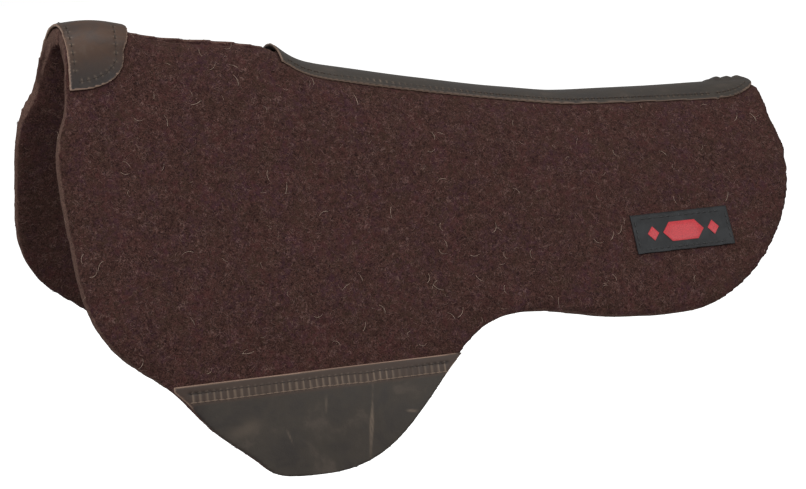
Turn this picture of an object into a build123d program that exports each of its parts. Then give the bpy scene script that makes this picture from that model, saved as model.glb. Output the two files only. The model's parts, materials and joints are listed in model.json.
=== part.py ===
from build123d import *
import os
from math import acos, asin, cos, degrees, hypot, pi, radians, sin, tan

# Western contoured saddle pad. X runs along the horse's back with the head at -X, Y across it
# with the horse's left side at -Y, and Z is up. The origin is on the underside of the felt
# spine, at mid-length, where the horse's back carries the pad.

# ---- overall sizes (mm) ----
pad_length = 762.0        # front edge to rear edge
felt_thickness = 19.0     # 3/4 inch wool felt
leather_thickness = 3.0   # strap, cap and wear leathers
label_thickness = 2.0
lay_gap = 0.3             # between a sewn-on piece and the felt under it
seam_gap = 0.4            # between the two felt halves at the spine

# ---- spine: rise of the felt's mid-thickness above the flex lines ----
front_rise = 155.0        # at the front edge
wither_rise = 158.0       # over the withers
slot_rise = 144.0         # where the wither slot begins
slot_mid_rise = 136.0
slot_end_rise = 128.0     # where the strap begins
strap_front_rise = 109.5  # just behind the strap's front edge
strap_rise = 98.0         # behind the withers
seat_rise = 83.0          # under the saddle seat, at mid-length
cantle_rise = 68.0
loin_rise = 60.0          # lowest stretch
rear_rise = 57.0          # at the rear edge
wither_from_front = 0.075 * pad_length
slot_from_front = 0.1615 * pad_length
slot_mid_from_front = 0.2467 * pad_length
slot_end_from_front = 0.294 * pad_length
strap_front_from_front = 0.336 * pad_length
strap_rise_from_front = 0.395 * pad_length
cantle_from_rear = 0.379 * pad_length
loin_from_rear = 0.2927 * pad_length

# ---- flex lines and sides ----
flex_spread_front = 101.0  # half distance between the flex lines at the front edge
flex_spread_rear = 57.0    # and at the rear edge
side_lean_front = 24.0     # side's lean from upright at the flex line, degrees
side_lean_rear = 37.0
skirt_radius = 1170.0      # the sides grow steeper downwards on this radius
flex_range = 20.0          # the sides fold in or spread out by up to this, degrees
flex_margin = 2.5          # spare angle before the felt parts touch, degrees

# ---- outline of one side, seen square to a plane leaning by cut_lean ----
cut_lean = 15.0            # lean of the cutting direction, so that felt edges are near square
front_neck_setback = 15.0  # front edge beside the withers, behind the foremost edge
front_neck_rise = 100.0    # above the flex line
front_top_setback = 23.5   # front edge at the spine
front_bow_drop = 60.0      # the front edge is foremost at this drop above and below
corner_depth = 141.0       # front lower corner
corner_from_front = 32.0
slope_depth = 185.5        # where the wear leather starts
slope_from_front = 84.0
lobe_depth = 267.5         # lowest point of the front lobe, below the flex line
lobe_from_front = 213.0
lobe_start_depth = 215.0   # front flank of the lobe
lobe_start_from_front = 108.0
lobe_front_half = 63.0     # from the lobe's lowest point forward to its front shoulder
lobe_front_rise = 17.0
lobe_rear_half = 92.0
lobe_rear_rise = 41.5
flank_depth = 169.5        # steep edge between the lobe and the rear skirt
flank_from_front = 362.0
waist_depth = 144.0        # shallowest point of the lower edge
waist_from_front = 432.0
waist_turn = 34.0          # the flank turns into the waist over this length
waist_turn_drop = 4.0
skirt_depth = 161.8        # lower edge of the rear skirt
skirt_from_rear = 172.0
rear_corner_depth = 122.8
rear_corner_from_rear = 65.5
rear_round_depth = 44.0
rear_round_from_rear = 7.5
rear_top_setback = 6.5     # rear edge at the spine, ahead of the rearmost edge

# ---- leather ----
slot_width = 24.0          # wither relief slot between the cap and the strap
slot_into_strap = 6.0      # the slot ends this far under the strap's front end
slot_under_cap = 8.0
strap_half_width = 29.0
strap_from_front = 229.0
strap_rear_setback = 9.0
strap_tongue = 60.0        # length of the strap's rounded rear end
cap_setback = 18.0         # cap's front edge behind the foremost felt
cap_length = 56.0
cap_front_lean = 3.5       # cap's front edge is this much further back at the spine
cap_rear_lean = 6.0        # and its rear edge
cap_reach = 69.5           # from the spine to the flap's lower edge
cap_straight = 34.0        # the flap's rear edge is straight as far as this
cap_toe = 9.0              # straight stretch of the flap's lower edge
wear_drop = 136.0          # top edge of the wear leather below the flex line
wear_from_front = 76.0     # its front end at the top edge
wear_front_slant = 12.0    # its front edge runs back by this over the slope
wear_row_drops = (6.5, 14.5)  # the two stitch rows below the wear leather's top edge

# ---- label ----
label_length = 110.0
label_height = 34.0
label_drop = 36.0          # top edge below the flex line
label_from_rear = 91.0     # rear end of the label to the rear edge
motif_thickness = 0.5
motif_length = 46.0
motif_height = 17.0
diamond_size = 9.0
diamond_spacing = 34.0

# ---- stitching ----
stitch_length = 4.2
stitch_width = 1.1
stitch_height = 0.8
stitch_pitch = 6.5
stitch_gap = 0.1           # thread clear of the leather under it
curve_gap = 0.25           # more where a straight stitch lies along a curve
edge_margin = 7.0          # stitch rows inside leather edges
label_margin = 3.5
label_row_clear = 0.06     # share of each label row left free at its ends

# ---- working values ----
half_felt = felt_thickness / 2
front_x = -pad_length / 2
rear_x = pad_length / 2
flex_z = half_felt - seat_rise
overrun = 8.0              # section stations run past the felt's ends by this
station_step = 0.024 * pad_length  # sections along X are no further apart than this
far = 2 * pad_length       # longer than anything it cuts
socket_radius = half_felt / cos(radians(flex_range + flex_margin))
socket_setback = half_felt * tan(radians(flex_range + flex_margin))
side_length = lobe_depth * 1.35
strap_front_x = front_x + strap_from_front
strap_rear_x = rear_x - strap_rear_setback
cap_front_x = front_x + cap_setback
cap_rear_x = cap_front_x + cap_length

crest_stations = [
    (front_x, front_rise),
    (front_x + wither_from_front, wither_rise),
    (front_x + slot_from_front, slot_rise),
    (front_x + slot_mid_from_front, slot_mid_rise),
    (front_x + slot_end_from_front, slot_end_rise),
    (front_x + strap_front_from_front, strap_front_rise),
    (front_x + strap_rise_from_front, strap_rise),
    (0.0, seat_rise),
    (rear_x - cantle_from_rear, cantle_rise),
    (rear_x - loin_from_rear, loin_rise),
    (rear_x, rear_rise),
]


def crest_rise(x):
    """Height of the spine's mid-thickness above the flex lines, smooth through its stations."""
    points = crest_stations
    last = len(points) - 1
    slopes = []
    for i in range(last + 1):
        before, after = points[max(i - 1, 0)], points[min(i + 1, last)]
        slopes.append((after[1] - before[1]) / (after[0] - before[0]))
    slopes[0] = slopes[last] = 0.0
    if x <= points[0][0]:
        return points[0][1]
    if x >= points[last][0]:
        return points[last][1]
    i = max(k for k in range(last) if points[k][0] <= x)
    (x0, z0), (x1, z1) = points[i], points[i + 1]
    span = x1 - x0
    t = (x - x0) / span
    return (z0 * (1 + 2 * t) * (1 - t) ** 2 + slopes[i] * span * t * (1 - t) ** 2
            + z1 * t * t * (3 - 2 * t) + slopes[i + 1] * span * t * t * (t - 1))


def along(x, front_value, rear_value):
    """A value that changes evenly from the front edge to the rear edge."""
    return front_value + (rear_value - front_value) * (x - front_x) / pad_length


def flex_y(x):
    return along(x, flex_spread_front, flex_spread_rear)


def side_lean(x):
    return radians(along(x, side_lean_front, side_lean_rear))


def crest_radius(x):
    """Mid-thickness radius of the arch that meets the straight side above the flex line."""
    lean = side_lean(x)
    return (flex_y(x) / tan(lean) - crest_rise(x)) / (1 / sin(lean) - 1)


def arch_length(x):
    """Distance over the felt from the spine to where the arch ends."""
    return crest_radius(x) * (pi / 2 - side_lean(x))


def flex_length(x):
    """Distance over the felt from the spine to the flex line."""
    lean = side_lean(x)
    straight = (flex_y(x) - crest_radius(x) * cos(lean)) / sin(lean)
    return arch_length(x) + straight


def steepness(x, reach):
    """Slope of the surface from level, at a distance from the spine."""
    if reach < arch_length(x):
        return reach / crest_radius(x)
    side = pi / 2 - side_lean(x)
    return side + max(reach - flex_length(x), 0.0) / skirt_radius


def over(x, reach, offset):
    """Point on the left side: distance from the spine over the felt, and height off mid-thickness."""
    angle = steepness(x, reach)
    side = pi / 2 - side_lean(x)
    radius = crest_radius(x)
    if reach < arch_length(x):
        y = radius * sin(angle)
        z = crest_rise(x) - radius * (1 - cos(angle))
    elif reach < flex_length(x):
        back = flex_length(x) - reach
        y = flex_y(x) - back * sin(side_lean(x))
        z = back * cos(side_lean(x))
    else:
        y = flex_y(x) + skirt_radius * (sin(angle) - sin(side))
        z = skirt_radius * (cos(angle) - cos(side))
    return Vector(x, -(y + offset * sin(angle)), flex_z + z + offset * cos(angle))


def reach_at_drop(x, drop, offset):
    """Distance from the spine at which a layer on the side is this far below the flex line."""
    side = pi / 2 - side_lean(x)
    angle = acos((skirt_radius * cos(side) - drop) / (skirt_radius + offset))
    return flex_length(x) + skirt_radius * (angle - side)


def reach_at_side(x, side, offset):
    """Distance from the spine at which a layer over the arch is this far out to the side."""
    radius = crest_radius(x)
    return radius * asin(side / (radius + offset))


def mirrored(solid):
    return mirror(solid, about=Plane.XZ)


def save(name, shape):
    os.makedirs("parts", exist_ok=True)
    export_step(shape, os.path.join("parts", name + ".step"))


def stations(start, end, count):
    return [start + (end - start) * i / (count - 1) for i in range(count)]


def loft_along(section, start, end):
    """Loft of closed sections, each given as a list of edges, at even stations along X."""
    count = 2 + int((end - start) / station_step)
    return Solid.make_loft([Wire(section(x)) for x in stations(start, end, count)])


def arc_between(x, reach_a, reach_b, offset):
    """Arc that lies off the felt between two distances from the spine."""
    middle = (reach_a + reach_b) / 2
    return Edge.make_three_point_arc(
        over(x, reach_a, offset), over(x, middle, offset), over(x, reach_b, offset))


# ---- felt ----
def crest_section(x):
    """Left half of the felt arch, from the spine seam to the socket at the flex line."""
    start, arch, flex = seam_gap / 2, arch_length(x), flex_length(x)
    lip = flex - socket_setback
    socket_floor = over(x, flex - socket_radius, 0)
    return [
        arc_between(x, start, arch, half_felt),
        Edge.make_line(over(x, arch, half_felt), over(x, lip, half_felt)),
        Edge.make_three_point_arc(over(x, lip, half_felt), socket_floor, over(x, lip, -half_felt)),
        Edge.make_line(over(x, lip, -half_felt), over(x, arch, -half_felt)),
        arc_between(x, arch, start, -half_felt),
        Edge.make_line(over(x, start, -half_felt), over(x, start, half_felt)),
    ]


def side_section(x):
    """Left side below the flex line, with a round top edge that turns in the socket."""
    flex = flex_length(x)
    end = flex + side_length
    return [
        arc_between(x, flex, end, half_felt),
        Edge.make_line(over(x, end, half_felt), over(x, end, -half_felt)),
        arc_between(x, end, flex, -half_felt),
        Edge.make_three_point_arc(
            over(x, flex, -half_felt), over(x, flex - half_felt, 0), over(x, flex, half_felt)),
    ]


cutting_plane = Plane(
    origin=(0, 0, flex_z), x_dir=(1, 0, 0),
    z_dir=(0, -cos(radians(cut_lean)), sin(radians(cut_lean))))
outline_top = 1.5 * wither_rise


def outline_face():
    """Flat outline of the left side, looked at square to the cutting plane."""
    neck_x = front_x + front_neck_setback
    slope = (front_top_setback - front_neck_setback) / (front_rise - front_neck_rise)
    neck = (neck_x, front_neck_rise)
    top_front = (neck_x + slope * (outline_top - front_neck_rise), outline_top)
    top_rear = (rear_x - rear_top_setback, outline_top)
    rear_neck = (rear_x - rear_top_setback, rear_rise * 0.85)
    lobe_x = front_x + lobe_from_front
    front_edge = Spline(
        neck,
        (front_x + 4, front_bow_drop),
        (front_x, -front_bow_drop / 2),
        (front_x + 8, -corner_depth * 0.68),
        (front_x + corner_from_front, -corner_depth),
        (front_x + slope_from_front, -slope_depth),
        (front_x + lobe_start_from_front, -lobe_start_depth),
        (lobe_x - lobe_front_half, lobe_front_rise - lobe_depth),
        (lobe_x, -lobe_depth),
        tangents=[(0, -1), (1, 0)])
    rear_of_lobe = Spline(
        (lobe_x, -lobe_depth),
        (lobe_x + lobe_rear_half, lobe_rear_rise - lobe_depth),
        (front_x + flank_from_front, -flank_depth),
        (front_x + waist_from_front - waist_turn, -waist_depth - waist_turn_drop),
        (front_x + waist_from_front, -waist_depth),
        (rear_x - skirt_from_rear, -skirt_depth),
        tangents=[(1, 0), (1, 0)])
    rear_skirt = Spline(
        (rear_x - skirt_from_rear, -skirt_depth),
        (rear_x - rear_corner_from_rear, -rear_corner_depth),
        (rear_x - rear_round_from_rear, -rear_round_depth),
        (rear_x, 0),
        rear_neck,
        tangents=[(1, 0), (0, 1)])
    edges = [
        Line(top_front, neck), front_edge, rear_of_lobe, rear_skirt,
        Line(rear_neck, top_rear), Line(top_rear, top_front)]
    return make_face(edges)


outline_cut = extrude(cutting_plane * outline_face(), amount=far / 2, both=True)


def upright_prism(face):
    """Face drawn looking along +Y, with heights from the flex line, cut through everything."""
    return extrude(Plane(origin=(0, 0, flex_z), x_dir=(1, 0, 0), z_dir=(0, -1, 0)) * face,
                   amount=far / 2, both=True)


slot_front_x = cap_rear_x - slot_under_cap
slot_rear_x = strap_front_x + slot_into_strap
slot_cut = Pos((slot_front_x + slot_rear_x) / 2, 0, 0) * extrude(
    SlotOverall(slot_rear_x - slot_front_x, slot_width), amount=wither_rise)

start_x, end_x = front_x - overrun, rear_x + overrun
crest_left = loft_along(crest_section, start_x, end_x) & outline_cut
crest_left = crest_left - slot_cut
side_left = loft_along(side_section, start_x, end_x) & outline_cut


# ---- leather ----
leather_low = half_felt + lay_gap
leather_high = leather_low + leather_thickness


def strap_section(x):
    half = strap_half_width
    left = [over(x, half, leather_high), over(x, half, leather_low)]
    right = [Vector(p.X, -p.Y, p.Z) for p in left]
    return [
        Edge.make_three_point_arc(left[0], over(x, 0, leather_high), right[0]),
        Edge.make_line(right[0], right[1]),
        Edge.make_three_point_arc(right[1], over(x, 0, leather_low), left[1]),
        Edge.make_line(left[1], left[0]),
    ]


def strap_outline():
    """The strap from above: square in front, a rounded tongue behind."""
    tongue_x = strap_rear_x - strap_tongue
    side, round_off = strap_half_width, 0.6
    shoulder_x = tongue_x + round_off * strap_tongue
    tip = round_off * side
    edges = [
        Line((strap_front_x, -side), (tongue_x, -side)),
        Bezier((tongue_x, -side), (shoulder_x, -side), (strap_rear_x, -tip), (strap_rear_x, 0)),
        Bezier((strap_rear_x, 0), (strap_rear_x, tip), (shoulder_x, side), (tongue_x, side)),
        Line((tongue_x, side), (strap_front_x, side)),
        Line((strap_front_x, side), (strap_front_x, -side)),
    ]
    return make_face(edges)


spine_strap = loft_along(strap_section, strap_front_x - overrun, strap_rear_x + overrun)
spine_strap = spine_strap & extrude(strap_outline(), amount=far / 2, both=True)


def cap_section(x):
    reach, arch = cap_reach + edge_margin, arch_length(x)
    outer = [over(x, arch, leather_high), over(x, reach, leather_high)]
    inner = [over(x, reach, leather_low), over(x, arch, leather_low)]
    outer_right = [Vector(p.X, -p.Y, p.Z) for p in outer]
    inner_right = [Vector(p.X, -p.Y, p.Z) for p in inner]
    return [
        Edge.make_three_point_arc(outer_right[0], over(x, 0, leather_high), outer[0]),
        Edge.make_line(outer[0], outer[1]),
        Edge.make_line(outer[1], inner[0]),
        Edge.make_line(inner[0], inner[1]),
        Edge.make_three_point_arc(inner[1], over(x, 0, leather_low), inner_right[1]),
        Edge.make_line(inner_right[1], inner_right[0]),
        Edge.make_line(inner_right[0], outer_right[1]),
        Edge.make_line(outer_right[1], outer_right[0]),
    ]


def cap_outline():
    """The flap from the side: straight front edge, curved rear lower edge."""
    low = over(cap_front_x, cap_reach, leather_low).Z - flex_z
    turn = over(cap_rear_x, cap_straight, leather_low).Z - flex_z
    ease = (turn - low) * 0.45
    front_top_x = cap_front_x + cap_front_lean / (front_rise - low) * (outline_top - low)
    rear_top_x = cap_rear_x + cap_rear_lean / (front_rise - turn) * (outline_top - turn)
    edges = [
        Line((front_top_x, outline_top), (cap_front_x, low)),
        Line((cap_front_x, low), (cap_front_x + cap_toe, low)),
        Bezier((cap_front_x + cap_toe, low), (cap_rear_x - ease, low),
               (cap_rear_x, low + ease), (cap_rear_x, turn)),
        Line((cap_rear_x, turn), (rear_top_x, outline_top)),
        Line((rear_top_x, outline_top), (front_top_x, outline_top)),
    ]
    return make_face(edges)


wither_cap = loft_along(cap_section, cap_front_x - overrun, cap_rear_x + cap_rear_lean + overrun)
wither_cap = wither_cap & upright_prism(cap_outline())


def side_patch(low, high, drop_top, drop_low, start, end):
    """Plain patch lying off the left side between two drops below the flex line."""
    def section(x):
        top, bottom = reach_at_drop(x, drop_top, high), reach_at_drop(x, drop_low, high)
        return [
            arc_between(x, top, bottom, high),
            Edge.make_line(over(x, bottom, high), over(x, bottom, low)),
            arc_between(x, bottom, top, low),
            Edge.make_line(over(x, top, low), over(x, top, high)),
        ]
    return loft_along(section, start, end)


def wear_outline():
    """Region that the wear leather covers, before the felt's own outline trims it."""
    front = front_x + wear_from_front
    slant = wear_front_slant * lobe_depth / (slope_depth - wear_drop)
    rear = front_x + waist_from_front
    return make_face(Polyline(
        (front, -wear_drop), (rear, -wear_drop), (rear, -2 * lobe_depth),
        (front + slant, -2 * lobe_depth), close=True))


wear_left = side_patch(
    leather_low, leather_high, wear_drop - edge_margin, lobe_depth * 1.1,
    front_x, front_x + waist_from_front + overrun)
wear_left = wear_left & upright_prism(wear_outline()) & outline_cut

label_rear_x = rear_x - label_from_rear
label_front_x = label_rear_x - label_length
label_mid = ((label_front_x + label_rear_x) / 2, -label_drop - label_height / 2)
label_low = half_felt + lay_gap
label_high = label_low + label_thickness


def on_label(low, high, face):
    slab = side_patch(low, high, label_drop - edge_margin, label_drop + label_height + edge_margin,
                      label_front_x - overrun, label_rear_x + overrun)
    return slab & upright_prism(face)


label_patch = on_label(label_low, label_high, Pos(*label_mid) * Rectangle(label_length, label_height))


def motif_face():
    """Plain badge: a long hexagon between two diamonds on each side."""
    half, tall = motif_length / 2, motif_height / 2
    bar = make_face(Polyline(
        (-half, 0), (-half + tall, tall), (half - tall, tall), (half, 0),
        (half - tall, -tall), (-half + tall, -tall), close=True))
    diamonds = [Pos(side * diamond_spacing, 0) * Rot(0, 0, 45) * Rectangle(diamond_size, diamond_size)
                for side in (-1, 1)]
    return [Pos(*label_mid) * face for face in [bar] + diamonds]


motif_low = label_high + stitch_gap
label_motif = Compound([
    solid for face in motif_face()
    for solid in on_label(motif_low, motif_low + motif_thickness, face).solids()])


# ---- stitching ----
def stitch(x, reach, offset, heading):
    """One stitch lying off the left side; heading turns it from along X to down the side."""
    at = over(x, reach, offset)
    angle = steepness(x, reach)
    down = Vector(0, -cos(angle), -sin(angle))
    ahead = over(x + 1, reach, offset) - over(x - 1, reach, offset)
    run = (ahead.normalized() * cos(heading) + down * sin(heading)).normalized()
    out = ahead.cross(down).normalized()
    if out.Z * cos(angle) - out.Y * sin(angle) < 0:
        out = out * -1
    out = (out - run * out.dot(run)).normalized()
    block = Box(stitch_length, stitch_width, stitch_height,
                align=(Align.CENTER, Align.CENTER, Align.MIN))
    return (Plane(origin=at, x_dir=run, z_dir=out) * block).solid()


def row(points, offset):
    """Stitches at an even pitch along a line of (x, distance from the spine) points."""
    lengths = [hypot(b[0] - a[0], b[1] - a[1]) for a, b in zip(points, points[1:])]
    total = sum(lengths)
    count = max(int(total / stitch_pitch), 2)
    stitches = []
    for i in range(count):
        left = total * (i + 0.5) / count
        k = 0
        while k < len(lengths) - 1 and left > lengths[k]:
            left -= lengths[k]
            k += 1
        (x0, s0), (x1, s1) = points[k], points[k + 1]
        t = left / lengths[k]
        heading = acos(max(-1.0, min(1.0, (x1 - x0) / lengths[k])))
        heading = heading if s1 >= s0 else -heading
        stitches.append(stitch(x0 + (x1 - x0) * t, s0 + (s1 - s0) * t, offset, heading))
    return Compound(stitches)


thread_on_leather = leather_high + stitch_gap + curve_gap
strap_row_side = strap_half_width - edge_margin * 0.6
tongue_start = strap_rear_x - strap_tongue


def on_strap(x, side):
    return (x, reach_at_side(x, side, leather_high))


strap_row = row([on_strap(x, strap_row_side)
                 for x in stations(strap_front_x + edge_margin, tongue_start, 20)],
                thread_on_leather)
tongue_row = row([
    on_strap(tongue_start + (strap_tongue - edge_margin) * sin(t), strap_row_side * cos(t))
    for t in stations(0.12, 1.35, 8)], thread_on_leather)

cap_inset_x = cap_rear_x - edge_margin
cap_curve = [
    (cap_front_x + cap_toe + (cap_inset_x - cap_front_x - cap_toe) * cos(t),
     cap_straight + (cap_reach - edge_margin - cap_straight) * sin(t))
    for t in stations(0, pi / 2, 7)]
cap_rear_row = row([(cap_inset_x + cap_rear_lean, edge_margin)] + cap_curve, thread_on_leather)
cap_front_row = row([(cap_front_x + edge_margin + cap_front_lean, edge_margin),
                     (cap_front_x + edge_margin, cap_reach - 2 * edge_margin)], thread_on_leather)

wear_row_start = front_x + wear_from_front + 2 * edge_margin
wear_row_end = front_x + flank_from_front - 3 * edge_margin
wear_rows = [
    row([(x, reach_at_drop(x, wear_drop + drop, leather_high))
         for x in stations(wear_row_start, wear_row_end, 12)], thread_on_leather)
    for drop in wear_row_drops]

thread_on_label = label_high + stitch_gap + curve_gap
label_top = label_drop + label_margin
label_bottom = label_drop + label_height - label_margin
label_ends = (label_front_x + label_margin, label_rear_x - label_margin)


def label_side(x_from, x_to, drop_from, drop_to, count):
    points = []
    for t in stations(label_row_clear, 1 - label_row_clear, count):
        x = x_from + (x_to - x_from) * t
        drop = drop_from + (drop_to - drop_from) * t
        points.append((x, reach_at_drop(x, drop, label_high)))
    return row(points, thread_on_label)


label_stitching = Compound([
    piece for part in (
        label_side(*label_ends, label_top, label_top, 5),
        label_side(*label_ends, label_bottom, label_bottom, 5),
        label_side(label_ends[0], label_ends[0], label_top, label_bottom, 3),
        label_side(label_ends[1], label_ends[1], label_top, label_bottom, 3))
    for piece in part.solids()])

# ---- write the nodes ----
save("felt_crest_left", crest_left)
save("felt_crest_right", mirrored(crest_left))
save("felt_side_left", side_left)
save("felt_side_right", mirrored(side_left))
save("spine_strap", spine_strap)
save("wither_cap", wither_cap)
save("wear_leather_left", wear_left)
save("wear_leather_right", mirrored(wear_left))
save("label_patch", label_patch)
save("label_motif", label_motif)
save("label_stitching", label_stitching)
for name, stitching in (
        ("strap_stitching", strap_row), ("strap_tongue_stitching", tongue_row),
        ("cap_rear_stitching", cap_rear_row), ("cap_front_stitching", cap_front_row),
        ("wear_upper_stitching", wear_rows[0]), ("wear_lower_stitching", wear_rows[1])):
    save(name + "_left", stitching)
    save(name + "_right", mirrored(stitching))

for x, _ in crest_stations:
    print("station %7.1f  arch radius %6.1f  lean %5.1f" % (x, crest_radius(x), degrees(side_lean(x))))
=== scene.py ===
import json
import math
import random

import bpy
import numpy as np
from mathutils import Matrix, Vector
from mathutils.bvhtree import BVHTree
from mathutils.kdtree import KDTree


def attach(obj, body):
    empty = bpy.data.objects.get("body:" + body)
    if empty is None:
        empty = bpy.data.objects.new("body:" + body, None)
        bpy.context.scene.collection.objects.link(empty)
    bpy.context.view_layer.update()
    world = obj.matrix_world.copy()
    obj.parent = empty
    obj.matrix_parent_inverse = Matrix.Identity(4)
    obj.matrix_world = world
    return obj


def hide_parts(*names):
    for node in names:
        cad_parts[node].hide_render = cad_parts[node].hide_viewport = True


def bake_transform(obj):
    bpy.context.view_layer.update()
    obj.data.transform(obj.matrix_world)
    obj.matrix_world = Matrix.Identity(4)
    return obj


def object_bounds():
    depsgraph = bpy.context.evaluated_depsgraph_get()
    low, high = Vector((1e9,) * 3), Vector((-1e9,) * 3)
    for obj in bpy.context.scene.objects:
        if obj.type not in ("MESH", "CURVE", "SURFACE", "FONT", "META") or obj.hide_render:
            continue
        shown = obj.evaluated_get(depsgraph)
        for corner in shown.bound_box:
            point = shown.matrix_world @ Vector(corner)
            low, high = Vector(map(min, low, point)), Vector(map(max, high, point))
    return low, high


# Western contoured saddle pad: two halves of pressed wool felt, a leather spine strap, a wither
# cap and a wear leather on each front lobe. Metres, head at -X, the horse's left at -Y.

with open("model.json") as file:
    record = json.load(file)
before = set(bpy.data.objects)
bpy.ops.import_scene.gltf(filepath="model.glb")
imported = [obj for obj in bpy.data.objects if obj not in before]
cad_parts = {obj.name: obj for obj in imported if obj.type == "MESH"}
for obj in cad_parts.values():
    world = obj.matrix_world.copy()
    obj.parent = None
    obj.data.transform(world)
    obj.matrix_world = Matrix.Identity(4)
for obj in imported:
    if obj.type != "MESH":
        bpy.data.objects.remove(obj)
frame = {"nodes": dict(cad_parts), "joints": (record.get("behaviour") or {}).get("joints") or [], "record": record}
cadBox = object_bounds()
cadNodes = frame["nodes"]
joints = {joint["name"]: joint for joint in frame["joints"]}
mm = 0.001
sides = {"left": -1.0, "right": 1.0}
print("frame loaded")


# small helpers

def pickOnly(*objects):
    if bpy.context.object and bpy.context.object.mode != "OBJECT":
        bpy.ops.object.mode_set(mode="OBJECT")
    bpy.ops.object.select_all(action="DESELECT")
    for obj in objects:
        obj.select_set(True)
    bpy.context.view_layer.objects.active = objects[0]


def applyModifier(obj, kind, **settings):
    modifier = obj.modifiers.new(kind.title(), kind)
    for name, value in settings.items():
        setattr(modifier, name, value)
    pickOnly(obj)
    bpy.ops.object.modifier_apply(modifier=modifier.name)


def copyOfNodes(name, *nodeNames):
    # one merged mesh with the shape of these CAD nodes
    copies = []
    for nodeName in nodeNames:
        copy = bpy.data.objects.new(name, cadNodes[nodeName].data.copy())
        bpy.context.scene.collection.objects.link(copy)
        copies.append(copy)
    pickOnly(*copies)
    if len(copies) > 1:
        bpy.ops.object.join()
    obj = bpy.context.object
    bpy.ops.object.mode_set(mode="EDIT")
    bpy.ops.mesh.select_all(action="SELECT")
    bpy.ops.mesh.remove_doubles(threshold=0.01 * mm)
    bpy.ops.object.mode_set(mode="OBJECT")
    obj.name = obj.data.name = name
    obj.data.materials.clear()
    return obj


def pointsOf(obj):
    flat = np.empty(len(obj.data.vertices) * 3, np.float32)
    obj.data.vertices.foreach_get("co", flat)
    return flat.reshape(-1, 3).astype(float)


def normalsOf(obj):
    flat = np.empty(len(obj.data.vertices) * 3, np.float32)
    obj.data.vertices.foreach_get("normal", flat)
    return flat.reshape(-1, 3).astype(float)


def evenOut(obj, settings):
    # an even mesh with slightly rounded edges
    applyModifier(obj, "REMESH", mode="VOXEL", voxel_size=settings["voxel"],
                  use_smooth_shade=True)
    applyModifier(obj, "SMOOTH", factor=0.5, iterations=settings["smoothing"])


def movePoints(obj, places):
    obj.data.vertices.foreach_set("co", places.astype(np.float32).ravel())
    obj.data.update()


def surfaceOf(*nodeNames):
    # a search tree over some CAD nodes' faces
    places, faces = [], []
    for nodeName in nodeNames:
        mesh = cadNodes[nodeName].data
        first = len(places)
        places += [v.co.copy() for v in mesh.vertices]
        faces += [[first + i for i in polygon.vertices] for polygon in mesh.polygons]
    return BVHTree.FromPolygons(places, faces)


def smoothStep(value, low, high):
    t = np.clip((np.asarray(value, float) - low) / (high - low), 0, 1)
    return t * t * (3 - 2 * t)


def paintAttribute(obj, name, values):
    attribute = obj.data.attributes.new(name, "FLOAT", "POINT")
    attribute.data.foreach_set("value", np.asarray(values, np.float32))


def softNoise(places, size, seed):
    # smooth unevenness from -1 to 1 with lumps about this size, the same in each run
    dice = np.random.default_rng(seed)
    total = np.zeros(len(places))
    for _ in range(10):
        direction = dice.normal(size=3)
        direction /= np.linalg.norm(direction)
        wave = 2 * math.pi / (size * dice.uniform(1.4, 3.0))
        total += np.sin(places @ direction * wave + dice.uniform(0, 2 * math.pi))
    return total / 4.5


def findCutEdges(obj, thickness, low, high):
    # a point on a cut edge has far more material behind it than the sheet is thick
    obj.data.update()
    tree = BVHTree.FromPolygons([v.co for v in obj.data.vertices],
                                [p.vertices for p in obj.data.polygons])
    farthest = 6 * thickness
    behind = []
    for place, normal in zip(pointsOf(obj), normalsOf(obj)):
        ray = Vector(-normal)
        away = tree.ray_cast(Vector(place) + ray * 0.05 * thickness, ray, farthest)[3]
        behind.append(farthest if away is None else away)
    return smoothStep(behind, low * thickness, high * thickness)


# where each sewn stitch of a CAD node lies

def stitchPlaces(nodeName):
    mesh = cadNodes[nodeName].data
    spots = {}
    index = []
    for vertex in mesh.vertices:  # corners at one spot count as one
        key = tuple(round(c / (0.02 * mm)) for c in vertex.co)
        index.append(spots.setdefault(key, len(spots)))
    group = list(range(len(spots)))

    def root(i):
        while group[i] != i:
            group[i] = group[group[i]]
            i = group[i]
        return i

    for polygon in mesh.polygons:
        first = root(index[polygon.vertices[0]])
        for other in polygon.vertices[1:]:
            group[root(index[other])] = first
    clusters = {}
    for vertex, i in zip(mesh.vertices, index):
        clusters.setdefault(root(i), set()).add(tuple(vertex.co))
    found = []
    for corners in clusters.values():
        corners = np.array(sorted(corners))
        middle = (corners.min(0) + corners.max(0)) / 2
        direction = np.linalg.svd(corners - corners.mean(0))[2][0]
        if direction[0] < 0:
            direction = -direction
        found.append((middle, direction))
    return sorted(found, key=lambda stitch: tuple(stitch[0]))


# materials

def linearColour(code):
    channels = [int(code[i:i + 2], 16) / 255 for i in (1, 3, 5)]
    return [c / 12.92 if c <= 0.04045 else ((c + 0.055) / 1.055) ** 2.4 for c in channels] + [1.0]


def addNode(tree, kind, links, output=0, **settings):
    # keys of links are input names or numbers: a socket is linked and a hex colour made linear
    node = tree.nodes.new("ShaderNode" + kind)
    for name, value in settings.items():
        setattr(node, name, value)
    for key, value in links.items():
        if isinstance(value, bpy.types.NodeSocket):
            tree.links.new(value, node.inputs[key])
        else:
            value = linearColour(value) if isinstance(value, str) else value
            node.inputs[key].default_value = value
    return node.outputs[output]


smooth = {"interpolation_type": "SMOOTHSTEP"}  # on a Map Range: 0 value, 1 and 2 from, 3 and 4 to
ofColours = {"data_type": "RGBA"}  # on a Mix: 0 share, 6 and 7 the colours, output 2
product = {"operation": "MULTIPLY"}


def newMaterial(name):
    material = bpy.data.materials.new(name)
    material.use_nodes = True
    tree = material.node_tree
    return material, tree, tree.nodes["Principled BSDF"], addNode(tree, "TexCoord", {}, "Object")


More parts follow.
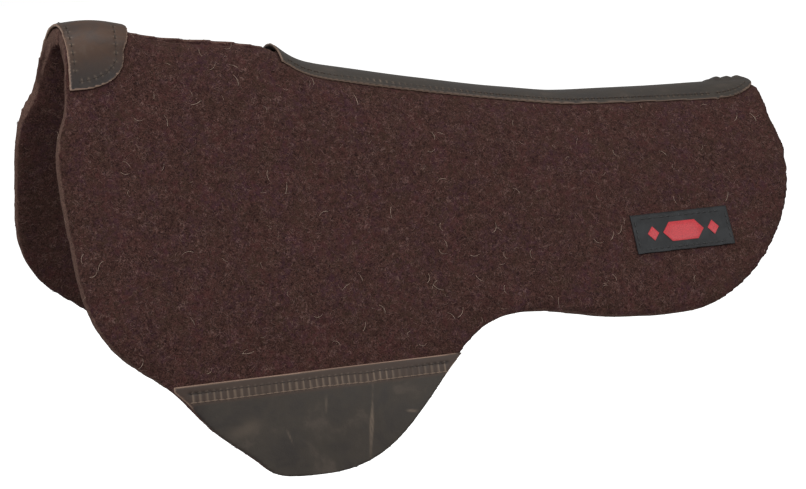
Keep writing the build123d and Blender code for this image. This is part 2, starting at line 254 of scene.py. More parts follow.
feltLook = {
    "dark": "#1f1211", "light": "#523832",
    "tints": ("#4e2b2b", "#3d2431", "#3a2c22"), "tintShare": 0.42,  # red, plum and olive wool
    "paleFibre": "#a2837c", "paleShare": 0.2, "cutEdge": "#7a5f55",
    "fibre": 2.2 * mm,      # a wool fibre is 0.03 mm; drawn this coarse so that it shows
    "tuft": 4.5 * mm, "blotch": 24 * mm,
    "curls": (3.4 * mm, 5.2 * mm), "curlWidth": 0.026,  # loose pale fibres lying in the surface
    "tuftDepth": 0.9 * mm, "fibreDepth": 0.7 * mm,
}


def pressedWoolFelt():
    # pressed wool felt: a matt tangle of dyed and undyed fibres, with a faint halo of loose ends
    look = feltLook
    material, tree, shader, place = newMaterial("Pressed wool felt")
    tangle = addNode(tree, "TexNoise", {"Vector": place, "Scale": 1 / look["fibre"], "Detail": 4,
                                        "Roughness": 0.65, "Distortion": 1.6})
    share = addNode(tree, "MapRange", {0: tangle, 1: 0.34, 2: 0.7}, **smooth)
    colour = addNode(tree, "Mix", {0: share, 6: look["dark"], 7: look["light"]}, 2, **ofColours)
    for seed, tint in enumerate(look["tints"]):
        shifted = addNode(tree, "VectorMath", {0: place, 1: (seed * 3.7, seed * 1.9, 0)})
        patch = addNode(tree, "TexNoise", {"Vector": shifted, "Scale": 1 / look["blotch"],
                                           "Detail": 3, "Roughness": 0.6})
        tuft = addNode(tree, "TexNoise", {"Vector": shifted, "Scale": 1 / look["tuft"],
                                          "Detail": 3, "Roughness": 0.6, "Distortion": 0.8})
        patch = addNode(tree, "MapRange", {0: patch, 1: 0.42, 2: 0.66}, **smooth)
        tuft = addNode(tree, "MapRange", {0: tuft, 1: 0.4, 2: 0.62}, **smooth)
        share = addNode(tree, "Math", {0: patch, 1: tuft}, **product)
        share = addNode(tree, "Math", {0: share, 1: look["tintShare"]}, **product)
        colour = addNode(tree, "Mix", {0: share, 6: colour, 7: tint}, 2, **ofColours)
    for size in look["curls"]:
        # thin curling lines where a noise crosses its middle value, broken up into short fibres
        patch = addNode(tree, "TexNoise", {"Vector": place, "Scale": 1 / (1.6 * size)})
        patch = addNode(tree, "MapRange", {0: patch, 1: 0.46, 2: 0.6}, **smooth)
        wave = addNode(tree, "TexNoise", {"Vector": place, "Scale": 1 / size, "Detail": 1,
                                          "Roughness": 0.4, "Distortion": 1.2})
        offset = addNode(tree, "Math", {0: wave, 1: 0.5}, operation="SUBTRACT")
        away = addNode(tree, "Math", {0: offset}, operation="ABSOLUTE")
        line = addNode(tree, "MapRange", {0: away, 1: look["curlWidth"],
                                          2: 0.25 * look["curlWidth"]}, **smooth)
        pale = addNode(tree, "Math", {0: line, 1: patch}, **product)
        pale = addNode(tree, "Math", {0: pale, 1: look["paleShare"]}, **product)
        colour = addNode(tree, "Mix", {0: pale, 6: colour, 7: look["paleFibre"]}, 2, **ofColours)
    edge = addNode(tree, "Attribute", {}, "Fac", attribute_name="cutEdge")
    frayed = addNode(tree, "MapRange", {0: tangle, 1: 0.34, 2: 0.62, 3: 0.2, 4: 0.8}, **smooth)
    frayed = addNode(tree, "Math", {0: edge, 1: frayed}, **product)
    colour = addNode(tree, "Mix", {0: frayed, 6: colour, 7: look["cutEdge"]}, 2, **ofColours)
    tree.links.new(colour, shader.inputs["Base Color"])
    shader.inputs["Roughness"].default_value = 0.96
    shader.inputs["Specular IOR Level"].default_value = 0.1
    shader.inputs["Sheen Weight"].default_value = 0.07
    shader.inputs["Sheen Roughness"].default_value = 0.55
    shader.inputs["Sheen Tint"].default_value = linearColour("#a88672")
    tufts = addNode(tree, "TexNoise", {"Vector": place, "Scale": 1 / look["tuft"], "Detail": 3,
                                       "Roughness": 0.6, "Distortion": 0.8})
    coarse = addNode(tree, "Bump", {"Height": tufts, "Distance": look["tuftDepth"],
                                    "Strength": 0.5})
    fine = addNode(tree, "Bump", {"Height": tangle, "Distance": look["fibreDepth"],
                                  "Strength": 0.75, "Normal": coarse})
    tree.links.new(fine, shader.inputs["Normal"])
    return material


leatherLook = {
    "grey": "#373029", "crownBrownAndHighlight": "#4a3324", "dark": "#262120", "rub": "#5b4f46",
    "capOil": "#231b18",
    "grain": 0.9 * mm,      # full-grain cowhide pores are 0.3 mm; coarser so that they show
    "cloud": 28 * mm, "wrinkle": 9 * mm,
    "capEnds": -0.27, "capStarts": -0.29,  # along X; the cap has soaked up more oil, and over the withers is rubbed brown and painted lighter towards its top as a painted highlight
    "crownLow": 0.045, "crownHigh": 0.09,  # and is rubbed brown over the withers
    # attributes painted on the pieces: colour and share; the dark groove colour is painted shade in the stitch
    # grooves and holes
    "marks": {"band": ("#43332a", 0.7), "pucker": ("#96826f", 0.6), "scuff": ("#96826f", 0.42),
              "grooveAndShade": ("#15110f", 0.75), "cutEdge": ("#a98c7a", 0.9)},
}


def oiledLeather():
    # oiled pull-up cowhide: satin, darker where the oil sits and paler where it is bent or rubbed
    look = leatherLook
    material, tree, shader, place = newMaterial("Oiled pull-up leather")
    along = addNode(tree, "SeparateXYZ", {0: place}, "X")
    height = addNode(tree, "SeparateXYZ", {0: place}, "Z")
    onCap = addNode(tree, "MapRange", {0: along, 1: look["capEnds"], 2: look["capStarts"]},
                    **smooth)
    # painted highlight: the cap is mixed towards a lighter brown by height, partly pull-up rubbing and partly
    # painted light
    crownRubAndHighlight = addNode(tree, "MapRange", {0: height, 1: look["crownLow"], 2: look["crownHigh"]},
                      **smooth)
    crownRubAndHighlight = addNode(tree, "Math", {0: onCap, 1: crownRubAndHighlight}, **product)
    colour = addNode(tree, "Mix", {0: onCap, 6: look["grey"], 7: look["capOil"]}, 2, **ofColours)
    colour = addNode(tree, "Mix", {0: crownRubAndHighlight, 6: colour, 7: look["crownBrownAndHighlight"]}, 2, **ofColours)
    cloud = addNode(tree, "TexNoise", {"Vector": place, "Scale": 1 / look["cloud"], "Detail": 4,
                                       "Roughness": 0.6, "Distortion": 0.4})
    oily = addNode(tree, "MapRange", {0: cloud, 1: 0.46, 2: 0.7, 4: 0.55}, **smooth)
    colour = addNode(tree, "Mix", {0: oily, 6: colour, 7: look["dark"]}, 2, **ofColours)
    rubbed = addNode(tree, "MapRange", {0: cloud, 1: 0.48, 2: 0.28, 4: 0.35}, **smooth)
    colour = addNode(tree, "Mix", {0: rubbed, 6: colour, 7: look["rub"]}, 2, **ofColours)
    grain = addNode(tree, "TexNoise", {"Vector": place, "Scale": 1 / look["grain"], "Detail": 3,
                                       "Roughness": 0.6})
    pores = addNode(tree, "MapRange", {0: grain, 1: 0.5, 2: 0.72, 4: 0.3}, **smooth)
    colour = addNode(tree, "Mix", {0: pores, 6: colour, 7: look["dark"]}, 2, **ofColours)
    for name, (tint, share) in look["marks"].items():
        mark = addNode(tree, "Attribute", {}, "Fac", attribute_name=name)
        mark = addNode(tree, "Math", {0: mark, 1: share}, **product)
        colour = addNode(tree, "Mix", {0: mark, 6: colour, 7: tint}, 2, **ofColours)
    tree.links.new(colour, shader.inputs["Base Color"])
    satin = addNode(tree, "MapRange", {0: cloud, 1: 0.3, 2: 0.7, 3: 0.6, 4: 0.44}, **smooth)
    tree.links.new(satin, shader.inputs["Roughness"])
    shader.inputs["Specular IOR Level"].default_value = 0.36
    shader.inputs["Coat Weight"].default_value = 0.05
    shader.inputs["Coat Roughness"].default_value = 0.4
    wrinkles = addNode(tree, "TexNoise", {"Vector": place, "Scale": 1 / look["wrinkle"],
                                          "Detail": 3, "Roughness": 0.55})
    coarse = addNode(tree, "Bump", {"Height": wrinkles, "Distance": 0.8 * mm, "Strength": 0.3})
    fine = addNode(tree, "Bump", {"Height": grain, "Distance": 0.18 * mm, "Strength": 0.6,
                                  "Normal": coarse})
    tree.links.new(fine, shader.inputs["Normal"])
    return material


threadLook = {"ply": 0.6 * mm, "plyDepth": 0.15 * mm, "shadow": "#1d1817"}


def spunFibre(name, code, roughness):
    # waxed thread or a loose wool hair: dull, and the ply shows as a twist
    material, tree, shader, place = newMaterial(name)
    ply = addNode(tree, "TexNoise", {"Vector": place, "Scale": 1 / threadLook["ply"]})
    share = addNode(tree, "MapRange", {0: ply, 1: 0.35, 2: 0.65, 4: 0.5}, **smooth)
    colour = addNode(tree, "Mix", {0: share, 6: code, 7: threadLook["shadow"]}, 2, **ofColours)
    tree.links.new(colour, shader.inputs["Base Color"])
    shader.inputs["Roughness"].default_value = roughness
    twist = addNode(tree, "Bump", {"Height": ply, "Distance": threadLook["plyDepth"],
                                   "Strength": 0.6})
    tree.links.new(twist, shader.inputs["Normal"])
    return material


def nappaLeather():
    # smooth dyed nappa: even black with a fine grain and a soft shine
    material, tree, shader, place = newMaterial("Black nappa leather")
    grain = addNode(tree, "TexNoise", {"Vector": place, "Scale": 1 / (1.1 * mm), "Detail": 3,
                                       "Roughness": 0.55})
    cloud = addNode(tree, "TexNoise", {"Vector": place, "Scale": 1 / (14 * mm)})
    share = addNode(tree, "MapRange", {0: cloud, 1: 0.35, 2: 0.65}, **smooth)
    colour = addNode(tree, "Mix", {0: share, 6: "#18191b", 7: "#242628"}, 2, **ofColours)
    tree.links.new(colour, shader.inputs["Base Color"])
    dull = addNode(tree, "MapRange", {0: grain, 1: 0.3, 2: 0.7, 3: 0.45, 4: 0.6}, **smooth)
    tree.links.new(dull, shader.inputs["Roughness"])
    shader.inputs["Specular IOR Level"].default_value = 0.35
    pores = addNode(tree, "Bump", {"Height": grain, "Distance": 0.12 * mm, "Strength": 0.45})
    tree.links.new(pores, shader.inputs["Normal"])
    return material


def printedLeather():
    # raised print on leather: flat pigment with a slight gloss and the leather's grain in it
    material, tree, shader, place = newMaterial("Red raised print")
    grain = addNode(tree, "TexNoise", {"Vector": place, "Scale": 1 / (0.9 * mm)})
    share = addNode(tree, "MapRange", {0: grain, 1: 0.35, 2: 0.7}, **smooth)
    colour = addNode(tree, "Mix", {0: share, 6: "#c8343c", 7: "#a3262e"}, 2, **ofColours)
    tree.links.new(colour, shader.inputs["Base Color"])
    shader.inputs["Roughness"].default_value = 0.42
    pores = addNode(tree, "Bump", {"Height": grain, "Distance": 0.08 * mm, "Strength": 0.5})
    tree.links.new(pores, shader.inputs["Normal"])
    return material


felt = pressedWoolFelt()
leather = oiledLeather()
brownThread = spunFibre("Waxed linen thread", "#42362e", 0.75)
paleThread = spunFibre("Undyed linen thread", "#7f6b5c", 0.8)
blackThread = spunFibre("Black bonded thread", "#2b2b2c", 0.45)
labelLeather = nappaLeather()
labelPrint = printedLeather()
looseWool = spunFibre("Undyed wool hair", "#cdb5a2", 0.8)
dyedWool = spunFibre("Dyed wool hair", "#7d5f55", 0.9)
print("materials made")


# how far a point is from any leather on the felt

leatherSurface = surfaceOf("spine_strap", "wither_cap", "wear_leather_left",
                           "wear_leather_right", "label_patch")


def freeOfLeather(places, near, clear):
    away = [leatherSurface.find_nearest(Vector(p), clear)[3] for p in places]
    return smoothStep([clear if d is None else d for d in away], near, clear)


# felt halves

feltSettings = {
    "voxel": 3.4 * mm, "smoothing": 5, "shrink": 0.5 * mm,
    "pressure": 3.0, "frames": 14, "mostSwell": 1.6 * mm,
    "lumps": 70 * mm, "lumpHeight": 0.9 * mm, "dimples": 13 * mm, "dimpleHeight": 0.22 * mm,
    "sewnGap": 3.5 * mm, "sewnBand": 9 * mm, "thickness": 19 * mm,
    "edgeFrom": (1.5, 2.6),  # cut edges have this many thicknesses of felt behind them
    "bend": 28 * mm, "lean": (24, 37),  # degrees from upright, front and rear
}


def swell(obj, settings):
    # pressed felt fills out a little between the places where it is sewn down
    start = pointsOf(obj)
    movePoints(obj, start - normalsOf(obj) * settings["shrink"])
    small = pointsOf(obj)
    held = obj.vertex_groups.new(name="sewn")
    free = freeOfLeather(start, settings["sewnGap"], settings["sewnGap"] + settings["sewnBand"])
    held.add([int(i) for i in np.flatnonzero(free < 0.05)], 1.0, "REPLACE")
    cloth = obj.modifiers.new("Cloth", "CLOTH")
    cloth.settings.vertex_group_mass = "sewn"
    cloth.settings.use_pressure = True
    cloth.settings.uniform_pressure_force = settings["pressure"]
    cloth.settings.effector_weights.gravity = 0
    cloth.settings.quality = 4
    cloth.collision_settings.use_collision = False
    for number in range(1, settings["frames"] + 1):
        bpy.context.scene.frame_set(number)
    pickOnly(obj)
    bpy.ops.object.modifier_apply(modifier=cloth.name)
    bpy.context.scene.frame_set(1)
    moved = pointsOf(obj) - small
    far = np.linalg.norm(moved, axis=1, keepdims=True)
    moved *= np.minimum(1, settings["mostSwell"] / np.maximum(far, 1e-9))
    lumpy = (softNoise(start, settings["lumps"], 3) * settings["lumpHeight"]
             + softNoise(start, settings["dimples"], 8) * settings["dimpleHeight"])
    outward = normalsOf(obj) * lumpy[:, None]
    movePoints(obj, start + (small + moved - start + outward) * free[:, None])
    obj.vertex_groups.clear()


def mirrorCopy(obj, name):
    pickOnly(obj)
    bpy.ops.object.duplicate()
    copy = bpy.context.object
    copy.name = copy.data.name = name
    bpy.ops.transform.resize(value=(1, -1, 1), center_override=(0, 0, 0))
    bpy.ops.object.transform_apply(location=False, rotation=False, scale=True)
    bpy.ops.object.mode_set(mode="EDIT")
    bpy.ops.mesh.select_all(action="SELECT")
    bpy.ops.mesh.normals_make_consistent(inside=False)
    bpy.ops.object.mode_set(mode="OBJECT")
    return copy


def bendWithFelt(obj, side):
    # bakes the transform into the mesh; the side's flex direction is worked out but nothing is bent
    joint = joints[side + "_side_flex"]
    axis = Vector(joint["axis"])
    lean = math.radians(sum(feltSettings["lean"]) / 2)
    down = Vector((0, sides[side] * math.sin(lean), -math.cos(lean)))
    down = (down - axis * down.dot(axis)).normalized()
    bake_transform(obj)


def makeFelt():
    left = copyOfNodes("felt_half_left", "felt_crest_left", "felt_side_left")
    evenOut(left, feltSettings)
    swell(left, feltSettings)
    edge = findCutEdges(left, feltSettings["thickness"], *feltSettings["edgeFrom"])
    paintAttribute(left, "cutEdge", edge)
    left.data.materials.append(felt)
    halves = {"left": left, "right": mirrorCopy(left, "felt_half_right")}
    for side, half in halves.items():
        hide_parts("felt_crest_" + side, "felt_side_" + side)
        bendWithFelt(half, side)
    return halves


feltHalves = makeFelt()
print("felt halves made,", len(feltHalves["left"].data.polygons), "faces each")


# leather pieces

leatherSettings = {
    "voxel": 1.25 * mm, "smoothing": 4, "thickness": 3 * mm,
    "wave": 46 * mm, "waveHeight": 0.5 * mm,
    "pitch": 6.5 * mm, "puckerHeight": 0.4 * mm, "puckerReach": 3.6 * mm,
    "grooveDepth": 0.6 * mm, "grooveWidth": 1.3 * mm, "bandWidth": 8.4 * mm, "bandDepth": 15.5 * mm,
    "paleTop": 24 * mm,  # the wear leathers' cut edge is pale only this far down from the top
    "edgeFrom": (1.15, 1.7), "rimShare": 0.7,
    "holeDepth": 0.3, "lowerDepth": 0.1,  # shares of grooveDepth, and of the painted shade in the groove
    "rowEnd": 2 * mm, "searched": 14 * mm, "bandFade": 4 * mm, "bandEdge": 3 * mm,
    "patch": 30 * mm, "wander": 1.2 * mm,
    "tiedLength": 34 * mm,  # holes are deep, and carry painted shade, this far in from the ends of the upper wear row
}
feltSurface = surfaceOf("felt_crest_left", "felt_side_left", "felt_crest_right", "felt_side_right")


def bodyOf(nodeName):
    bodies = frame["record"]["behaviour"]["bodies"]
    return next(body for body, members in bodies.items() if nodeName in members)


def sewDown(obj, rows, settings, banded):
    # the thread pulls a groove into the leather, and the leather puckers across each row; two
    # rows close together (banded) have puckers only between them. The groove is also painted dark as painted shade
    places = pointsOf(obj)
    lift = np.zeros_like(places)
    height = np.zeros(len(places))
    for i, place in enumerate(places):
        spot, normal, _, away = feltSurface.find_nearest(Vector(place))
        lift[i] = normal if (Vector(place) - spot).dot(normal) > 0 else -normal
        height[i] = away
    outer = smoothStep(height, 0.45 * settings["thickness"], 0.9 * settings["thickness"])
    pucker, grooveAndShade, distance = (np.zeros(len(places)) for _ in range(3))
    for number, nodeName in enumerate(rows):
        stitches = stitchPlaces(nodeName)
        tree = KDTree(len(stitches))
        for i, (middle, _) in enumerate(stitches):
            tree.insert(middle, i)
        tree.balance()
        ends = [stitches[0][0][0], stitches[-1][0][0]]
        for i in np.flatnonzero(outer):
            place = places[i]
            spot, which, away = tree.find(place)
            if away > settings["searched"]:
                distance[i] += settings["searched"]
                continue
            direction = stitches[which][1]
            offset = place - np.array(spot)
            run = float(offset @ direction)
            across = np.linalg.norm(offset - run * direction - (offset @ lift[i]) * lift[i])
            past = max(0.0, abs(run) - 0.55 * settings["pitch"])
            near = max(0.0, 1 - past / settings["rowEnd"])
            distance[i] += across + past
            ripple = max(0.0, math.cos(2 * math.pi * run / settings["pitch"])) ** 3
            if not banded:
                fade = math.cos(min(1.0, across / settings["puckerReach"]) * math.pi / 2) ** 2
                pucker[i] = max(pucker[i], ripple * fade * near)
                depth = settings["holeDepth"]
            elif number == 0:
                pucker[i] = max(pucker[i], ripple * near)
                # the holes are deepest, with the darkest painted shade, at the ends of the upper row, where the
                # thread is tied off
                end = min(abs(place[0] - x) for x in ends)
                depth = 0.15 + 0.85 * max(0.0, 1 - end / settings["tiedLength"])
            else:
                depth = settings["lowerDepth"]
            trough = math.exp(-(across / settings["grooveWidth"]) ** 2)
            grooveAndShade[i] = max(grooveAndShade[i], trough * near * depth * (1 - 0.65 * ripple))
    band = np.zeros(len(places))
    if banded:
        width, depth = settings["bandWidth"], settings["bandDepth"]
        pucker *= 1 - smoothStep(distance, width, width + settings["bandFade"])
        below = places[:, 2] - places[:, 2].max()
        band = smoothStep(below, -depth - settings["bandEdge"], -depth) * outer
    wave = softNoise(places, settings["wave"], 21) * settings["waveHeight"]
    rise = (pucker * settings["puckerHeight"] * outer - grooveAndShade * settings["grooveDepth"] * outer
            + wave * outer)
    movePoints(obj, places + lift * rise[:, None])
    patchy = 0.55 + 0.45 * softNoise(places, settings["patch"], 31)
    paintAttribute(obj, "pucker", np.clip(pucker * patchy, 0, 1) * outer)
    # painted shade: the stitch grooves and holes are coloured dark by this attribute
    paintAttribute(obj, "grooveAndShade", grooveAndShade * outer)
    paintAttribute(obj, "band", band)


def markScuffs(obj, strokes):
    # long pale scratches: each is two ends (x, z), a width and a strength, seen from the side
    places = pointsOf(obj)
    scuff = np.zeros(len(places))
    for start, end, width, strength in strokes:
        start, end = np.array(start), np.array(end)
        flat = places[:, [0, 2]]
        along = end - start
        t = np.clip((flat - start) @ along / (along @ along), 0, 1)
        away = np.linalg.norm(flat - start - t[:, None] * along, axis=1)
        wander = softNoise(places, leatherSettings["patch"], 5) * leatherSettings["wander"]
        faded = np.sin(math.pi * (0.08 + 0.84 * t))
        mark = np.exp(-((away + wander) / width) ** 2) * strength * faded
        scuff = np.maximum(scuff, mark)
    paintAttribute(obj, "scuff", scuff)


def wornRim(obj, edge, share):
    # the rim next to a cut edge is rubbed pale too
    pairs = np.empty(len(obj.data.edges) * 2, np.int32)
    obj.data.edges.foreach_get("vertices", pairs)
    first, second = pairs.reshape(-1, 2).T
    worn = edge.copy()
    np.maximum.at(worn, first, share * edge[second])
    np.maximum.at(worn, second, share * edge[first])
    return worn


def makeLeather(nodeName, rows, strokes=(), banded=False, paleness=1.0):
    obj = copyOfNodes(nodeName + "_leather", nodeName)
    evenOut(obj, leatherSettings)
    edge = findCutEdges(obj, leatherSettings["thickness"], *leatherSettings["edgeFrom"])
    if banded:
        height = pointsOf(obj)[:, 2]
        fall = height.max() - leatherSettings["paleTop"]
        edge *= smoothStep(height, fall, fall + 0.4 * leatherSettings["paleTop"])
    paintAttribute(obj, "cutEdge", wornRim(obj, edge, leatherSettings["rimShare"]) * paleness)
    sewDown(obj, rows, leatherSettings, banded)
    markScuffs(obj, strokes)
    obj.data.materials.append(leather)
    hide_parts(nodeName)
    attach(obj, bodyOf(nodeName))
    return obj


def bothSides(*names):
    return [name + "_" + side for name in names for side in sides]


wearScuffs = {"left": [
    ((-0.116, -0.223), (-0.127, -0.289), 0.9 * mm, 0.8),
    ((-0.204, -0.257), (-0.199, -0.272), 0.8 * mm, 0.6),
    ((-0.087, -0.253), (-0.076, -0.255), 0.7 * mm, 0.8),
    ((-0.258, -0.256), (-0.227, -0.248), 5.0 * mm, 0.3),
    ((-0.163, -0.232), (-0.165, -0.246), 0.8 * mm, 0.4),
], "right": [
    ((-0.140, -0.232), (-0.150, -0.284), 0.9 * mm, 0.6),
    ((-0.215, -0.262), (-0.196, -0.268), 0.8 * mm, 0.5),
    ((-0.105, -0.246), (-0.082, -0.238), 3.0 * mm, 0.3),
]}

strap = makeLeather("spine_strap", bothSides("strap_stitching", "strap_tongue_stitching"),
                    paleness=0.55)
makeLeather("wither_cap", bothSides("cap_rear_stitching", "cap_front_stitching"))
for side in sides:
    makeLeather("wear_leather_" + side,
                ["wear_upper_stitching_" + side, "wear_lower_stitching_" + side],
                wearScuffs[side], banded=True)


def liftTongue(obj, settings):
    # the right half of the strap's rear end has dried wavy and stands off the felt a little
    places = pointsOf(obj)
    back = smoothStep(places[:, 0], *settings["along"])
    back *= smoothStep(places[:, 1], *settings["across"])
    waves = 1 + settings["waves"] * np.sin(places[:, 0] * 2 * math.pi / settings["pitch"])
    places[:, 2] += back * waves * settings["lift"]
    movePoints(obj, places)


liftTongue(strap, {"along": (0.322, 0.337), "across": (-2 * mm, 12 * mm), "lift": 3.6 * mm,
                   "waves": 0.22, "pitch": 12 * mm})
print("leather pieces made")


# thread

threadSettings = {
    "length": 4.9 * mm, "width": 1.15 * mm, "height": 0.95 * mm, "sink": 0.35 * mm,
    "sides": 7, "cuts": (-0.32, 0.32, 0), "slim": 0.45, "dip": 0.6, "lowerStretch": 1.3,
}


def roundBar(sides, radius, cuts):
    # a bar one unit long along X, cut into rings at these places
    bpy.ops.object.select_all(action="DESELECT")
    bpy.ops.mesh.primitive_cylinder_add(vertices=sides, radius=radius, depth=1,
                                        rotation=(0, math.pi / 2, 0))
    bar = bpy.context.object
    bpy.ops.object.transform_apply(location=True, rotation=True, scale=True)
    bpy.ops.object.mode_set(mode="EDIT")
    for cut in cuts:
        bpy.ops.mesh.select_all(action="SELECT")
        bpy.ops.mesh.bisect(plane_co=(cut, 0, 0), plane_no=(1, 0, 0))
    bpy.ops.object.mode_set(mode="OBJECT")
    return bar


def modelStitch(settings):
    # one stitch of thread: thick in the middle, with both ends going down into their holes
    stitch = roundBar(settings["sides"], 0.5, settings["cuts"])
    places = pointsOf(stitch)
    run = np.abs(places[:, 0]) * 2
    thick = 1 - settings["slim"] * run ** 4
    places[:, 1] *= thick * settings["width"]
    places[:, 2] *= thick * settings["height"]
    places[:, 2] -= run ** 3 * settings["dip"] * settings["height"]
    places[:, 0] *= settings["length"]
    movePoints(stitch, places)
    return stitch


def placeCopies(name, pattern, placings, material):
    # one mesh with a copy of the pattern at each placing, so that a row is one piece
    shape = np.c_[pointsOf(pattern), np.ones(len(pattern.data.vertices))]
    faces = [tuple(p.vertices) for p in pattern.data.polygons]
    places, joined = [], []
    for number, placing in enumerate(placings):
        places.append((shape @ np.array(placing).T)[:, :3])
        joined += [tuple(i + number * len(shape) for i in face) for face in faces]
    mesh = bpy.data.meshes.new(name)
    mesh.from_pydata(np.concatenate(places).tolist(), [], joined)
    mesh.polygons.foreach_set("use_smooth", [True] * len(mesh.polygons))
    mesh.materials.append(material)
    obj = bpy.data.objects.new(name, mesh)
    bpy.context.scene.collection.objects.link(obj)
    return obj


def makeThread(nodeName, pattern, material, stretch=1.0, ground=feltSurface):
    placings = []
    for middle, direction in stitchPlaces(nodeName):
        spot, normal, _, _ = ground.find_nearest(Vector(middle))
        normal = normal if (Vector(middle) - spot).dot(normal) > 0 else -normal
        run = Vector(direction)
        run = (run - normal * run.dot(normal)).normalized()
        cross = normal.cross(run)
        turn = Matrix((run * stretch, cross, normal)).transposed().to_4x4()
        sunk = Vector(middle) - normal * threadSettings["sink"]
        placings.append(Matrix.Translation(sunk) @ turn)
    row = placeCopies(nodeName + "_thread", pattern, placings, material)
    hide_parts(nodeName)
    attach(row, bodyOf(nodeName))


stitchPattern = modelStitch(threadSettings)
for nodeName in bothSides("strap_stitching", "strap_tongue_stitching", "cap_rear_stitching",
                          "cap_front_stitching", "wear_upper_stitching"):
    makeThread(nodeName, stitchPattern, brownThread)
for nodeName in bothSides("wear_lower_stitching"):
    makeThread(nodeName, stitchPattern, paleThread,
               stretch=threadSettings["lowerStretch"])
print("threads made")


# label on the left half

labelSettings = {"voxel": 0.8 * mm, "smoothing": 3, "printBevel": 0.18 * mm}


def makeLabel():
    patch = copyOfNodes("label_patch_leather", "label_patch")
    evenOut(patch, labelSettings)
    patch.data.materials.append(labelLeather)
    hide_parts("label_patch")
    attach(patch, bodyOf("label_patch"))
    motif = copyOfNodes("label_motif_print", "label_motif")
    applyModifier(motif, "BEVEL", width=labelSettings["printBevel"], segments=2,
                  limit_method="ANGLE")
    motif.data.materials.append(labelPrint)
    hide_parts("label_motif")
    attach(motif, bodyOf("label_motif"))
    makeThread("label_stitching", stitchPattern, blackThread)


makeLabel()
bpy.data.objects.remove(stitchPattern)
print("label made")


# loose wool hairs on the felt

hairSettings = {
    "pale": {"count": 330, "length": (4 * mm, 12 * mm), "radius": 0.15 * mm, "curl": 1.8,
             "worn": 0.85},
    "dyed": {"count": 3000, "length": (2.5 * mm, 6.5 * mm), "radius": 0.17 * mm, "curl": 2.2,
             "worn": 0.5},
    "seed": 11, "sideSeeds": {"left": 3, "right": 5}, "shapes": 6, "steps": 5,
    "clear": (4 * mm, 6 * mm), "lifted": 0.1 * mm,  # off the leather and off the felt
}


def modelHair(curl, lift, radius):
    # a curled three-sided strand one metre long, laid along X and rising off the felt
    steps = hairSettings["steps"]
    hair = roundBar(3, 1, [step / steps - 0.5 for step in range(1, steps)])
    places = pointsOf(hair)
    along = places[:, 0] + 0.5
    turn = curl * places[:, 0]
    around = places[:, 1:] * (radius * (1 - 0.5 * along))[:, None]
    places[:, 0] = np.sin(turn) / curl
    places[:, 1] = (1 - np.cos(turn)) / curl + around[:, 0]
    places[:, 2] = lift * along ** 2 + around[:, 1]
    movePoints(hair, places)
    return hair


def scatterHairs(half, side, kind, material):
    settings = hairSettings[kind]
    dice = random.Random(hairSettings["seed"] + len(kind) * 7 + hairSettings["sideSeeds"][side])
    mesh = half.data
    areas = np.array([p.area for p in mesh.polygons])
    reach = np.cumsum(areas)
    pieces = []
    for shape in range(hairSettings["shapes"]):
        curl = settings["curl"] * (0.35 + shape / hairSettings["shapes"])
        middleLength = sum(settings["length"]) / 2
        pattern = modelHair(curl, 0.06 + 0.05 * shape, settings["radius"] / middleLength)
        placings = []
        for _ in range(settings["count"] // hairSettings["shapes"]):
            polygon = mesh.polygons[int(np.searchsorted(reach, dice.random() * reach[-1]))]
            length = dice.uniform(*settings["length"])
            normal = polygon.normal.copy()
            inner = normal.z + 2 * sides[side] * normal.y < 0
            if dice.random() < settings["worn"] and inner:
                continue  # the horse's back has rubbed the hairs off the inside
            run = Vector((dice.gauss(0, 1), dice.gauss(0, 1), dice.gauss(0, 1)))
            run = (run - normal * run.dot(normal)).normalized()
            cross = normal.cross(run)
            turn = Matrix((run * length, cross * length, normal * length)).transposed().to_4x4()
            lifted = Vector(polygon.center) + normal * hairSettings["lifted"]
            placings.append(Matrix.Translation(lifted) @ turn)
        away = freeOfLeather([p.translation for p in placings], *hairSettings["clear"])
        placings = [p for p, free in zip(placings, away) if free > 0.5]
        pieces.append(placeCopies("hairs", pattern, placings, material))
        bpy.data.objects.remove(pattern)
    pickOnly(*pieces)
    bpy.ops.object.join()
    hairs = bpy.context.object
    hairs.name = hairs.data.name = kind + "_hairs_" + side
    bendWithFelt(hairs, side)


for side, half in feltHalves.items():
    scatterHairs(half, side, "pale", looseWool)
    scatterHairs(half, side, "dyed", dyedWool)
print("hairs scattered")


# floor, light and camera

stageSettings = {"size": 9.0, "below": 0.45, "fill": 0.34, "floorGlow": 0.75}
lightSettings = [
    # name, place, size, power in watts
    ("key", (-1.9, -2.4, 2.2), 1.8, 74),
    ("side", (1.6, -2.2, 1.3), 1.6, 20),
    ("top", (0.2, 0.3, 2.6), 1.6, 16),
]
cameraSettings = {
    "aim": (-0.0587, -0.1016, -0.1160),
    "azimuth": -22.52, "pitch": 14.0, "distance": 2.1889, "lens": 103.92,
}


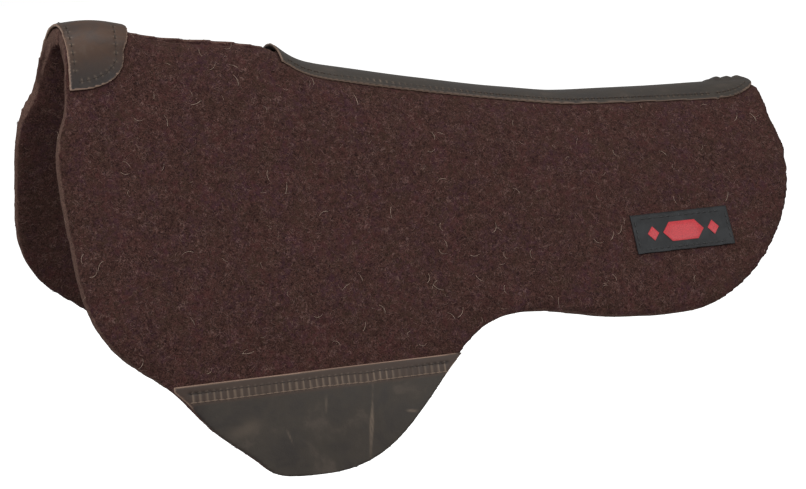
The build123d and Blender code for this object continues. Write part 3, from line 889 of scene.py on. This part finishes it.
def makeStage():
    bpy.ops.object.select_all(action="DESELECT")
    bpy.ops.mesh.primitive_grid_add(x_subdivisions=2, y_subdivisions=2, size=stageSettings["size"],
                                    location=(0, 1.5, cadBox[0].z - stageSettings["below"]))
    floor = bpy.context.object
    floor.name = "studio_floor"
    bpy.ops.object.transform_apply(location=True, rotation=True, scale=True)
    # lit opal acrylic, as on a product table: white by itself, and kept out of the leather's shine
    material, tree, shader, place = newMaterial("Opal acrylic")
    tone = addNode(tree, "TexNoise", {"Vector": place, "Scale": 1 / 0.4})
    colour = addNode(tree, "Mix", {0: tone, 6: "#fbfbfa", 7: "#f7f7f6"}, 2, **ofColours)
    tree.links.new(colour, shader.inputs["Base Color"])
    shader.inputs["Roughness"].default_value = 0.95
    shader.inputs["Emission Color"].default_value = (1, 1, 1, 1)
    shader.inputs["Emission Strength"].default_value = stageSettings["floorGlow"]
    floor.visible_glossy = floor.visible_diffuse = False
    floor.data.materials.append(material)
    world = bpy.data.worlds.new("studio")
    bpy.context.scene.world = world
    world.use_nodes = True
    tree = world.node_tree
    seen = addNode(tree, "LightPath", {}, "Is Camera Ray")
    fill = stageSettings["fill"]  # the walls are white, and light the pad with a soft dim fill
    wall = addNode(tree, "Mix", {0: seen, 2: fill, 3: 1.0})
    tree.links.new(wall, tree.nodes["Background"].inputs["Strength"])
    tree.nodes["Background"].inputs["Color"].default_value = (1, 1, 1, 1)
    for name, place, size, power in lightSettings:
        light = bpy.data.lights.new(name, "AREA")
        light.shape = "DISK"
        light.size = size
        light.energy = power
        lamp = bpy.data.objects.new(name, light)
        bpy.context.scene.collection.objects.link(lamp)
        lamp.location = place
        lamp.rotation_euler = (-Vector(place)).to_track_quat("-Z", "Y").to_euler()


def makeCamera():
    settings = cameraSettings
    turn, pitch = math.radians(settings["azimuth"]), math.radians(settings["pitch"])
    back = Vector((math.sin(turn) * math.cos(pitch), -math.cos(turn) * math.cos(pitch),
                   math.sin(pitch)))
    aim = Vector(settings["aim"])
    camera = bpy.data.objects.new("camera", bpy.data.cameras.new("camera"))
    bpy.context.scene.collection.objects.link(camera)
    camera.data.lens = settings["lens"]
    camera.data.sensor_width = 36
    camera.location = aim + back * settings["distance"]
    camera.rotation_euler = (-back).to_track_quat("-Z", "Y").to_euler()
    bpy.context.scene.camera = camera


makeStage()
makeCamera()
bpy.context.scene.view_settings.view_transform = "Standard"
print("stage set")
